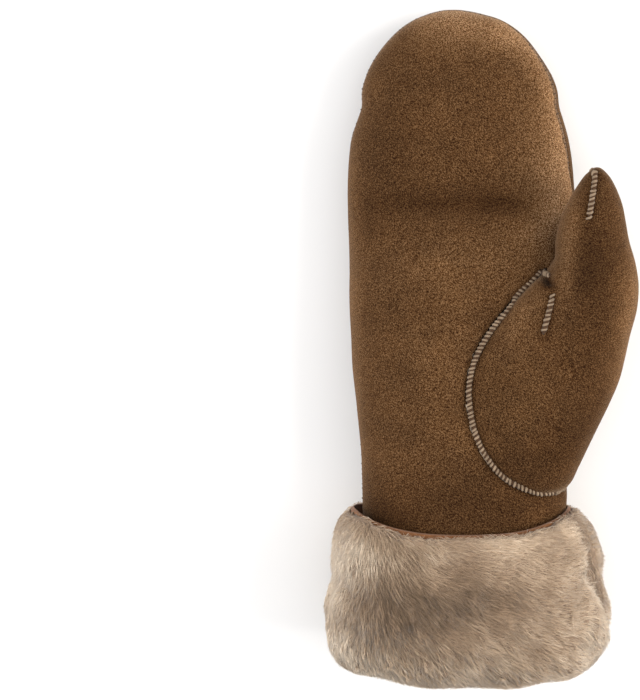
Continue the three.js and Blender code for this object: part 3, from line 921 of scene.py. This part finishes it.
def add_camera():
    back = Vector((0, math.sin(VIEW_TILT), math.cos(VIEW_TILT)))
    camera = linked("camera", bpy.data.cameras.new("camera"))
    camera.data.sensor_width = SENSOR
    camera.data.lens = SENSOR * PIXELS_PER_MM / MM * VIEW_DISTANCE / IMAGE_HEIGHT
    camera.location = Vector(metres(LOOK_AT)) + VIEW_DISTANCE * back
    camera.rotation_euler = (-VIEW_TILT, 0, 0)
    bpy.context.scene.camera = camera


# Lights, with place, size, watts and colour: all face LIT_PLACE.
LIGHTS = {
    "right_softbox": ((1.1, 0.15, 0.65), (1.0, 1.6), 27, (1.0, 0.96, 0.91)),
    "left_softbox": ((-1.2, 0.1, 0.5), (1.0, 1.6), 22, (0.99, 0.98, 0.98)),
    "top_softbox": ((0.0, 0.5, 1.9), (1.8, 1.8), 13, (1.0, 1.0, 1.0)),
}
LIT_PLACE = (0, 0, 0.03)
WORLD_STRENGTH = 0.45
FLOOR_REACH = 3000
FLOOR_DROP = 0.4


def add_light(name, place, size, watts, colour):
    data = bpy.data.lights.new(name, "AREA")
    data.shape = "RECTANGLE"
    data.size, data.size_y = size
    data.energy = watts
    data.color = colour
    light = linked(name, data)
    light.location = place
    light.rotation_euler = (Vector(LIT_PLACE) - Vector(place)).to_track_quat("-Z", "Y").to_euler()


def add_studio():
    for name, settings in LIGHTS.items():
        add_light(name, *settings)
    world = bpy.data.worlds.new("studio")
    world.use_nodes = True
    background = world.node_tree.nodes["Background"]
    background.inputs["Color"].default_value = (1, 1, 1, 1)
    background.inputs["Strength"].default_value = WORLD_STRENGTH
    bpy.context.scene.world = world
    bpy.context.scene.view_settings.view_transform = "Standard"
    corners = [(x * FLOOR_REACH, y * FLOOR_REACH, 0) for x, y in ((-1, -1), (1, -1), (1, 1), (-1, 1))]
    floor = new_object("floor", corners, [(0, 1, 2, 3)])
    floor.location.z = -FLOOR_DROP * MM
    floor.data.materials.append(floor_material())


# Materials
class Nodes:
    """Small helper that adds and links shader nodes."""

    def __init__(self, name):
        self.material = bpy.data.materials.new(name)
        self.material.use_nodes = True
        self.tree = self.material.node_tree
        self.shader = self.tree.nodes["Principled BSDF"]
        self.coordinates = self.tree.nodes.new("ShaderNodeTexCoord").outputs["Object"]

    def add(self, kind, **settings):
        node = self.tree.nodes.new("ShaderNode" + kind)
        for key, value in settings.items():
            if key in node.inputs:
                node.inputs[key].default_value = value
            else:
                setattr(node, key, value)
        return node

    def link(self, source, target):
        self.tree.links.new(source, target)

    def brushed(self, turn, stretch):
        """Coordinates whose features are longer along a direction turned from +Y."""
        node = self.add("Mapping", vector_type="TEXTURE")
        node.inputs["Rotation"].default_value = (0, 0, turn)
        node.inputs["Scale"].default_value = (1, stretch, 1)
        self.link(self.coordinates, node.inputs["Vector"])
        return node.outputs["Vector"]

    def noise(self, scale, detail, roughness, vector=None):
        node = self.add("TexNoise", Scale=scale, Detail=detail, Roughness=roughness)
        self.link(vector or self.coordinates, node.inputs["Vector"])
        return node.outputs["Fac"]

    def ramp(self, source, *stops):
        node = self.add("ValToRGB")
        ramp = node.color_ramp
        while len(ramp.elements) < len(stops):
            ramp.elements.new(0.5)
        for element, (place, colour) in zip(ramp.elements, stops):
            element.position = place
            element.color = (*colour, 1)
        self.link(source, node.inputs["Fac"])
        return node.outputs["Color"]

    def multiplied(self, a, b):
        node = self.add("Mix", data_type="RGBA", blend_type="MULTIPLY")
        node.inputs[0].default_value = 1.0
        self.link(a, node.inputs[6])
        self.link(b, node.inputs[7])
        return node.outputs[2]

    def math(self, operation, a, b):
        node = self.add("Math", operation=operation)
        self.link(a, node.inputs[0])
        if isinstance(b, float):
            node.inputs[1].default_value = b
        else:
            self.link(b, node.inputs[1])
        return node.outputs[0]

    def surface(self, **settings):
        """Sets the shader's inputs, with underscores for the spaces in their names."""
        for key, value in settings.items():
            self.shader.inputs[key.replace("_", " ")].default_value = value

    def bump(self, height, strength, distance):
        node = self.add("Bump", Strength=strength, Distance=distance)
        self.link(height, node.inputs["Height"])
        self.link(node.outputs["Normal"], self.shader.inputs["Normal"])


def floor_material():
    n = Nodes("floor")
    n.surface(Base_Color=(0.9, 0.9, 0.9, 1), Roughness=0.9)
    return n.material


# Colours of the suede's noises
SUEDE_NAP = [(0.36, (0.014, 0.004, 0.0006)), (0.5, (0.06, 0.026, 0.0078)), (0.64, (0.15, 0.081, 0.036))]
SUEDE_BLOTCHES = [(0.34, (0.86, 0.85, 0.84)), (0.66, (1.14, 1.13, 1.12))]
SUEDE_CLOUDS = [(0.3, (0.94, 0.94, 0.94)), (0.7, (1.06, 1.06, 1.06))]
NAP_TURN = math.radians(42)
NAP_STRETCH = 2.4


def suede_material():
    n = Nodes("suede")
    nap = n.noise(3100, 2, 0.6, n.brushed(NAP_TURN, NAP_STRETCH))
    grain = n.noise(3200, 2, 0.6)
    blotches = n.ramp(n.noise(36, 3, 0.55), *SUEDE_BLOTCHES)
    clouds = n.ramp(n.noise(150, 3, 0.6), *SUEDE_CLOUDS)
    colour = n.multiplied(n.multiplied(n.ramp(nap, *SUEDE_NAP), blotches), clouds)
    # The nap attribute multiplies in painted light and shade, partly real brushing of the nap
    brushed = n.add("Attribute", attribute_name="nap")
    n.link(n.multiplied(colour, brushed.outputs["Color"]), n.shader.inputs["Base Color"])
    n.surface(Roughness=0.95, Specular_IOR_Level=0.08)
    n.surface(Sheen_Weight=0.3, Sheen_Roughness=0.26, Sheen_Tint=(1.0, 0.7, 0.46, 1))
    height = n.math("ADD", nap, n.math("MULTIPLY", grain, 0.5))
    n.bump(height, 0.6, 0.0005)
    return n.material


# Painted light and shade, partly real brushing of the nap: soft areas painted darker in creases, hollows and
# shaded parts and painted lighter along lit edges and the tip, as place, reach, width, change and turn
NAP_AND_PAINTED_LIGHT = {
    "back_of_hand": [(-57, 0, 110, 5, 0.5, 1.57)],
    "palm_of_hand": [
        (-4, 70, 40, 9, -0.18, 0.03), (-4, 68.4, 34, 3.8, -0.26, 0), (12, 67.8, 12, 5.5, -0.24, -0.2),
        (21, 64, 8, 4.5, -0.2, -0.6), (-29, 68.6, 8, 3.5, -0.08, 0), (-30, 60.5, 13, 4, 0.12, 0),
        (-6, 42, 44, 16, 0.36, 0), (-4, 10, 22, 12, 0.2, 0), (24, 92, 42, 13, 0.42, 1.5),
        (40, 84, 50, 7, 0.8, 1.53), (32, 64, 28, 10, 1.75, 1.57), (22, 56, 9, 7, 0.5, 0),
        (20, 43, 9, 5, -0.3, 0.75), (-6, 145, 40, 10, 1.6, -0.15), (-16, 150, 22, 3.5, 1.4, 0),
        (19, 136, 16, 7, 1, 2.33), (32, 112, 24, 6, 1.1, 1.85), (36, 93, 18, 9, 0.6, 1.65),
        (-52, 56, 14, 6, -0.2, 1.57), (-57, 0, 110, 5, 0.5, 1.57), (-44, 84, 40, 11, -0.14, 1.5),
        (-40, -70, 16, 8, -0.4, -0.2), (-8, -62, 50, 12, -0.2, 0), (26, -60, 20, 10, -0.2, 0.5),
        (-46, 118, 22, 12, 0.16, 1.1), (-22, -14, 36, 26, 0.18, 1.2),
    ],
    "thumb_and_gusset": [
        (65, 24, 44, 6.5, 1, 1.5), (35.5, 52, 22, 4, 0.7, 1.5), (43, 48, 22, 6, -0.25, 1.5),
        (48, 26, 56, 12, -0.26, 1.5), (16, 24, 15, 9, 0.5, 1), (27.2, 36, 3.2, 2, -1.2, -0.35),
        (22, -42, 32, 12, -0.26, 0.4),
    ],
}
DARKEST = 0.12
NAP_SWELL = (18, 0.05, 7)

# Where painted lighter the suede is greyer, and where painted darker it is warmer: a power for each colour
PAINTED_LIGHT_POWERS = (1.0, 1.14, 1.38)

# Undulations of the soft walls
SWELLS = [(34, 0.55, 1), (14, 0.16, 2)]

# Heights over which undulations and the painted light and shade grow in from the floor
SWELL_Z = (2, 6)
PAINTED_LIGHT_Z = (8, 12)

# Extra relief on the palm side: place, reach, width, depth and turn. The last is the pucker in the crotch.
RELIEF = [
    (2, 68.5, 38, 5, 1.6, 0.03), (30, 66, 14, 5, 0.8, 0.25), (-36, -58, 16, 5, 0.7, 0.5),
    (-34, 92, 16, 9, 0.5, 0.9), (27.2, 37, 2.9, 1.7, 3.2, -0.35),
]

# Clipped wool on the inside of the walls: what is near enough to the hollow, and its relief
FLEECE_WITHIN = 0.7
FLEECE_SWELL = (3.5, 0.35, 9)


def is_inside(places, room_tree):
    return np.array([room_tree.find_nearest(Vector(p))[3] for p in places]) < FLEECE_WITHIN * MM


def line_with_fleece(obj, room_tree, fleece):
    mesh = obj.data
    mesh.materials.append(fleece)
    centres = np.empty(len(mesh.polygons) * 3)
    mesh.polygons.foreach_get("center", centres)
    mesh.polygons.foreach_set("material_index", is_inside(centres.reshape(-1, 3), room_tree).astype(int))


def near_seam(layout, seam_tree, width):
    """1 at a stitched seam, fading over that width."""
    away = np.array([seam_tree.find(p)[2] for p in metres(layout)]) / MM
    return np.exp(-((away / width) ** 2))


def above_floor(layout, start, over):
    return np.clip((layout[:, 2] - start) / over, 0, 1)


def soften(obj, seam_tree, room_tree):
    """Soft undulations, folds, and a shallow valley along each stitched seam."""
    def distance(layout, normals):
        total = sum(swell(layout, *row) for row in SWELLS) * above_floor(layout, *SWELL_Z)
        for depth, share in oval_spots(layout[:, 0], layout[:, 1], RELIEF):
            total -= depth * share * np.clip(normals[:, 2], 0, 1)
        total -= VALLEY["depth"] * near_seam(layout, seam_tree, VALLEY["width"])
        inner = is_inside(metres(layout), room_tree)
        return np.where(inner, swell(layout, *FLEECE_SWELL), total)

    moved_out(obj, distance)


def paint_light_and_nap(obj, seam_tree):
    """Stores at each vertex painted light and shade for the suede's colour, partly real brushing of the nap,
    with painted shade along the seams.
    """
    layout = layout_of(vertex_places(obj.data))
    shade = np.ones(len(layout)) + swell(layout, *NAP_SWELL)
    up = above_floor(layout, *PAINTED_LIGHT_Z)
    for change, share in oval_spots(layout[:, 0], layout[:, 1], NAP_AND_PAINTED_LIGHT[obj.name]):
        shade += up * change * share
    # Painted shade in the valley along each stitched seam
    shade *= 1 - VALLEY["darker"] * near_seam(layout, seam_tree, VALLEY["shadow"])
    colour = np.ones((len(layout), 4))
    colour[:, :3] = np.maximum(shade, DARKEST)[:, None] ** PAINTED_LIGHT_POWERS
    # The nap attribute carries this painted light and shade, partly real brushing of the nap
    colour_vertices(obj.data, "nap", colour)


# Plain materials: colour, roughness, sheen, and the scale of the noise that makes it DARKER and LIGHTER
PLAIN = {
    "thread": ((0.235, 0.168, 0.11), 0.9, 0.06, 420),
    "bead_leather": ((0.06, 0.03, 0.014), 0.9, 0.1, 1500),
    "fleece": ((0.5, 0.39, 0.28), 0.9, 0.3, 900),
    "cuff_edge": ((0.17, 0.072, 0.028), 0.8, 0.1, 900),
    # The welt's leather is a lighter copy of the bead's, a painted highlight along the lit edge round the tip
    "painted_lit_welt_leather": ((0.15, 0.085, 0.042), 0.9, 0.3, 1500),
    "welt_thread": ((0.06, 0.033, 0.016), 0.9, 0.1, 420),
    "wool_roots": ((0.2, 0.14, 0.095), 0.9, 0.1, 600),
}
DARKER, LIGHTER = 0.7, 1.25


def plain_material(name, colour, roughness, sheen, grain):
    n = Nodes(name)
    tint = n.noise(grain, 3, 0.6)
    dark, light = (tuple(share * c for c in colour) for share in (DARKER, LIGHTER))
    n.link(n.ramp(tint, (0.3, dark), (0.7, light)), n.shader.inputs["Base Color"])
    n.surface(Roughness=roughness, Specular_IOR_Level=0.2, Sheen_Weight=sheen)
    n.bump(tint, 0.4, 0.0004)
    return n.material


# Colours of the wool by tone, and their shares from a fibre's root to its tip
WOOL_COLOURS = [
    (0.0, (0.14, 0.09, 0.052)), (0.45, (0.37, 0.258, 0.167)),
    (0.75, (0.61, 0.465, 0.33)), (1.0, (0.88, 0.74, 0.575)),
]
ROOT_TO_TIP = [(0.0, (0.62, 0.57, 0.52)), (0.5, (0.88, 0.87, 0.86)), (1.0, (1.0, 1.0, 1.0))]


def wool_material():
    n = Nodes("wool")
    fibre = n.add("Attribute", attribute_name="fibre")
    parts = n.add("SeparateColor")
    n.link(fibre.outputs["Color"], parts.inputs["Color"])
    colour = n.ramp(parts.outputs["Red"], *WOOL_COLOURS)
    shade = n.ramp(parts.outputs["Green"], *ROOT_TO_TIP)
    n.link(n.multiplied(colour, shade), n.shader.inputs["Base Color"])
    n.surface(Roughness=0.75, Specular_IOR_Level=0.25, Sheen_Weight=0.25, Sheen_Roughness=0.4)
    return n.material


# Wool tones, partly painted light: lighter towards the left and right edges and darker in the middle, where
# side light falls, and partly the wool's own uneven tone. Place, spread and how much lighter or darker than
# the middle tone
WOOL_TONES_AND_LIGHT = [
    (50, -108, 22, 0.2), (36, -84, 15, 0.14), (-51, -82, 10, 0.46), (-26, -84, 10, 0.3),
    (6, -81, 14, 0.3), (-66, -84, 9, 0.4), (-67, -100, 11, 0.55), (-66, -124, 11, 0.5),
    (-40, -102, 14, -0.22), (-16, -98, 16, -0.28), (6, -99, 13, -0.2), (2, -112, 14, 0.1),
    (-48, -138, 16, 0.5), (-14, -134, 16, 0.14), (0, -143, 22, 0.2), (36, -143, 22, 0.24),
    (50, -124, 12, 0.14),
]
MIDDLE_TONE = 0.5
STRIP_TONE = 0.5
FRINGE_LIGHTER = 0.14
TONE_SWELL = (6, 0.07, 11)
WISP_SPREAD, FIBRE_SPREAD = 0.06, 0.07


def wool_tone_and_light(rng, root, wisp):
    layout = layout_of(root)
    tone = np.full(len(root), MIDDLE_TONE)
    # Partly painted light: lighter at the side edges, darker in the middle
    for x, y, spread, change in WOOL_TONES_AND_LIGHT:
        tone += change * round_spot(layout, x, y, spread)
    strip, fringe = strip_and_fringe(layout)
    tone = np.where(strip, STRIP_TONE, tone + swell(layout, *TONE_SWELL))
    tone += np.where(fringe, FRINGE_LIGHTER, 0)
    tone += rng.normal(0, WISP_SPREAD, WISPS)[wisp] + rng.normal(0, FIBRE_SPREAD, len(root))
    return np.clip(tone, 0, 1)


def dress(obj, material, slot, *nodes):
    obj.data.materials.clear()
    obj.data.materials.append(material)
    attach(obj, "root")
    if nodes:
        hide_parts(*nodes)


def build():
    add_camera()
    add_studio()
    rng = np.random.default_rng(SEED)
    suede, wool = suede_material(), wool_material()
    plain = {name: plain_material(name, *row) for name, row in PLAIN.items()}
    back, palm, thumb, rim, skin_tree, room_tree = suede_walls()
    seams = seam_paths(skin_tree)
    seam_tree = point_tree(np.concatenate([even_path(path, MM)[0] for path in seams.values()]))
    for obj, node in ((back, "back_panel"), (palm, "palm_panel"), (thumb, "thumb")):
        remeshed(obj, WALL_VOXELS[node], WALL_PASSES, WALL_KEPT)
        soften(obj, seam_tree, room_tree)
        paint_light_and_nap(obj, seam_tree)
        dress(obj, suede, "suede", node)
        line_with_fleece(obj, room_tree, plain["fleece"])
    shade_smooth(rim.data)
    rim.data.set_sharp_from_angle(angle=math.radians(RIM_SHARP_DEGREES))
    settle(rim)
    dress(rim, plain["cuff_edge"], "cuff_edge", "cuff_skin")
    side_path = side_seam_path(skin_tree)
    dress(bead("seam_side_welt", side_path, WELT_RADIUS, WELT_SINK), plain["painted_lit_welt_leather"], "suede")
    side_rng = np.random.default_rng(SEED + 1)
    dress(stitches("seam_side_thread", side_path, side_rng, WELT_STITCH), plain["welt_thread"], "thread")
    for name, path in seams.items():
        dress(bead(name + "_bead", path), plain["bead_leather"], "suede")
        dress(stitches(name + "_thread", path, rng), plain["thread"], "thread")
    base = wool_base()
    base_tree = tree_of(base)
    dress(base, plain["wool_roots"], "wool", "cuff_pile")
    wisps = wool_wisps(rng, base_tree)
    for name, kind in (("short", SHORT), ("long", LONG)):
        fibres = wool_fibres(rng, base_tree, kind, wisps)
        tone = wool_tone_and_light(rng, fibres[0], fibres[4])
        across = np.argsort(fibres[0][:, 0])
        for i, chosen in enumerate(np.array_split(across, kind["pieces"])):
            part = [values[chosen] for values in fibres]
            piece = fibre_mesh(f"wool_{name}_{i + 1}", part, tone[chosen], kind["radius"], name == "long")
            dress(piece, wool, "wool")


build()
